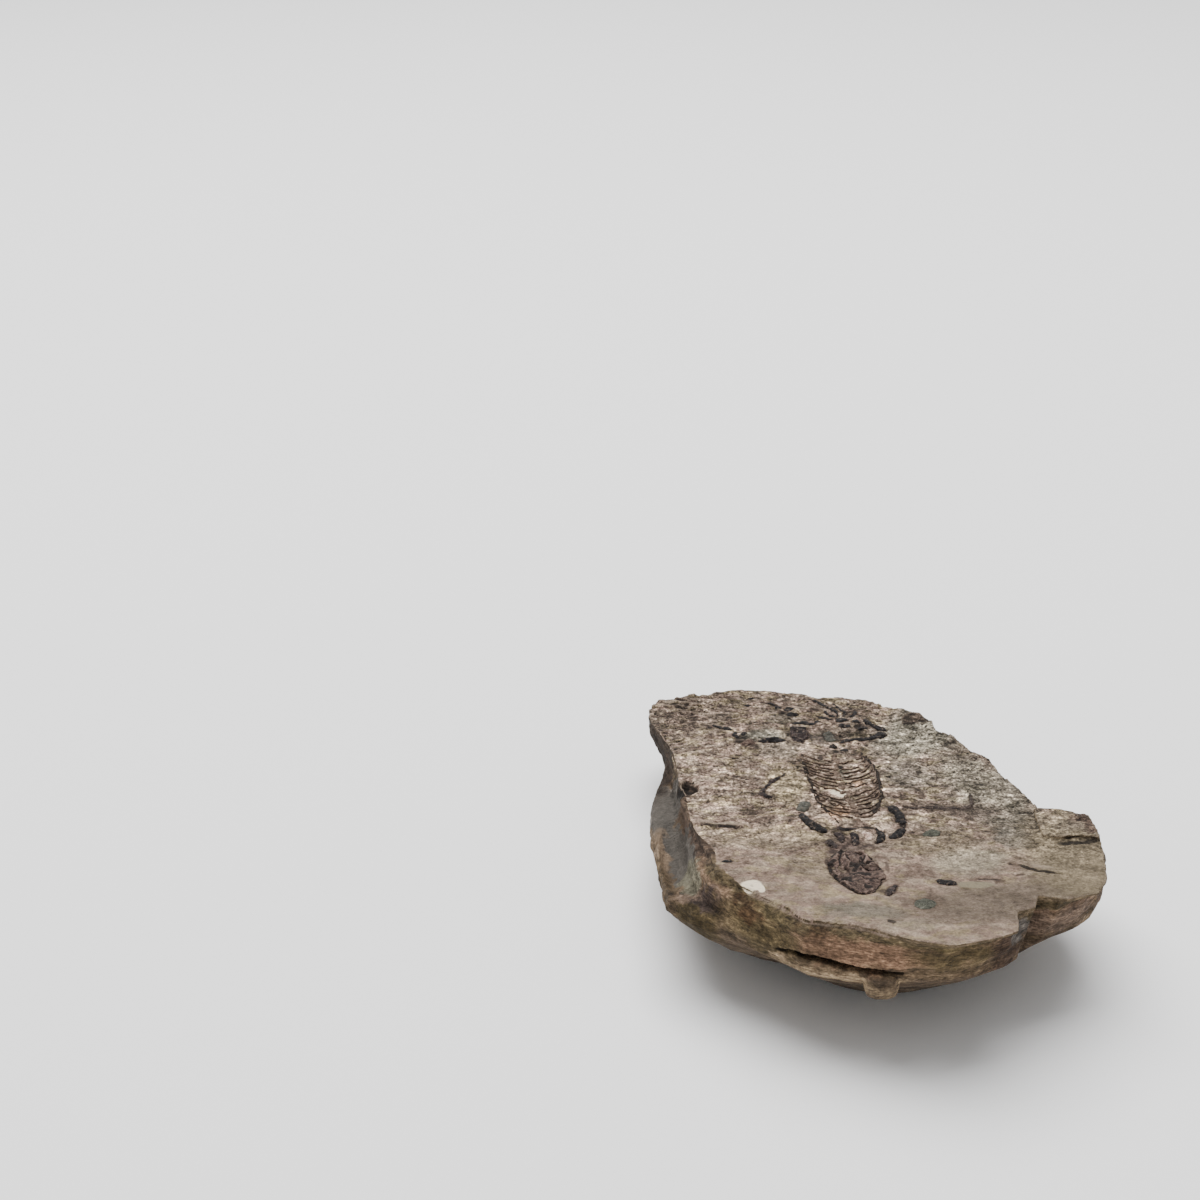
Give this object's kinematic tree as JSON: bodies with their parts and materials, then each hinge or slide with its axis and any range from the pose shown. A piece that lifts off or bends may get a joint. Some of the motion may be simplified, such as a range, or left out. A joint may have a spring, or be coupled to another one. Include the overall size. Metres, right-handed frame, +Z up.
{
  "type": "fossil reptile skeleton in split stone",
  "caption": "Half of a split stone nodule lying with its split face up, holding the dark skeleton of a small sprawling reptile, with skull, rib basket, bent limbs and a spread foot.",
  "frame": {"origin": "middle of the bounding box in plan, at the height of the worn flat that the half rests on", "axes": "+Z up, out of the split face; +Y along the animal from its head towards its tail; +X to the right when looking along +Y"},
  "size_m": [0.1397, 0.1962, 0.0459],
  "materials": {
    "stone": "matte",
    "black_bone": "satin",
    "purple_bone": "matte",
    "grey_bone": "matte",
    "pale_bone": "matte",
    "green_stone": "matte"
  },
  "bodies": {
    "root": {"matrix_slab": "stone", "skull": "purple_bone", "jaw_fragment": "black_bone", "neck_bones": "purple_bone", "collar_bone": "purple_bone", "breast_bone": "grey_bone", "left_shoulder_bone": "purple_bone", "right_shoulder_bone": "black_bone", "pale_shoulder_bone": "pale_bone", "left_upper_arm": "black_bone", "left_forearm": "grey_bone", "left_hand": "black_bone", "right_upper_arm": "black_bone", "right_forearm": "black_bone", "right_hand": "black_bone", "rib_cage": "purple_bone", "loin_vertebra_1": "black_bone", "loin_vertebra_2": "black_bone", "left_hip_bone": "purple_bone", "right_hip_bone": "grey_bone", "hip_rim": "black_bone", "left_thigh_bone": "black_bone", "left_knee_bone": "purple_bone", "left_shin_bone": "black_bone", "left_shin_splint": "black_bone", "left_foot_bones": "black_bone", "right_thigh_bone": "black_bone", "right_shin_bone": "black_bone", "ankle_bone_1": "black_bone", "ankle_bone_2": "black_bone", "ankle_bone_3": "black_bone", "ankle_bone_4": "black_bone", "right_toe_1": "black_bone", "right_toe_2": "black_bone", "right_toe_3": "black_bone", "right_toe_4": "black_bone", "right_toe_5": "black_bone", "tail_vertebra_1": "black_bone", "tail_vertebra_2": "black_bone", "tail_vertebra_3": "black_bone", "tail_vertebra_4": "black_bone", "tail_vertebra_5": "black_bone", "tail_vertebra_6": "black_bone", "nodule_1": "green_stone", "nodule_2": "grey_bone", "nodule_3": "green_stone", "nodule_4": "black_bone"}
  },
  "joints": []
}
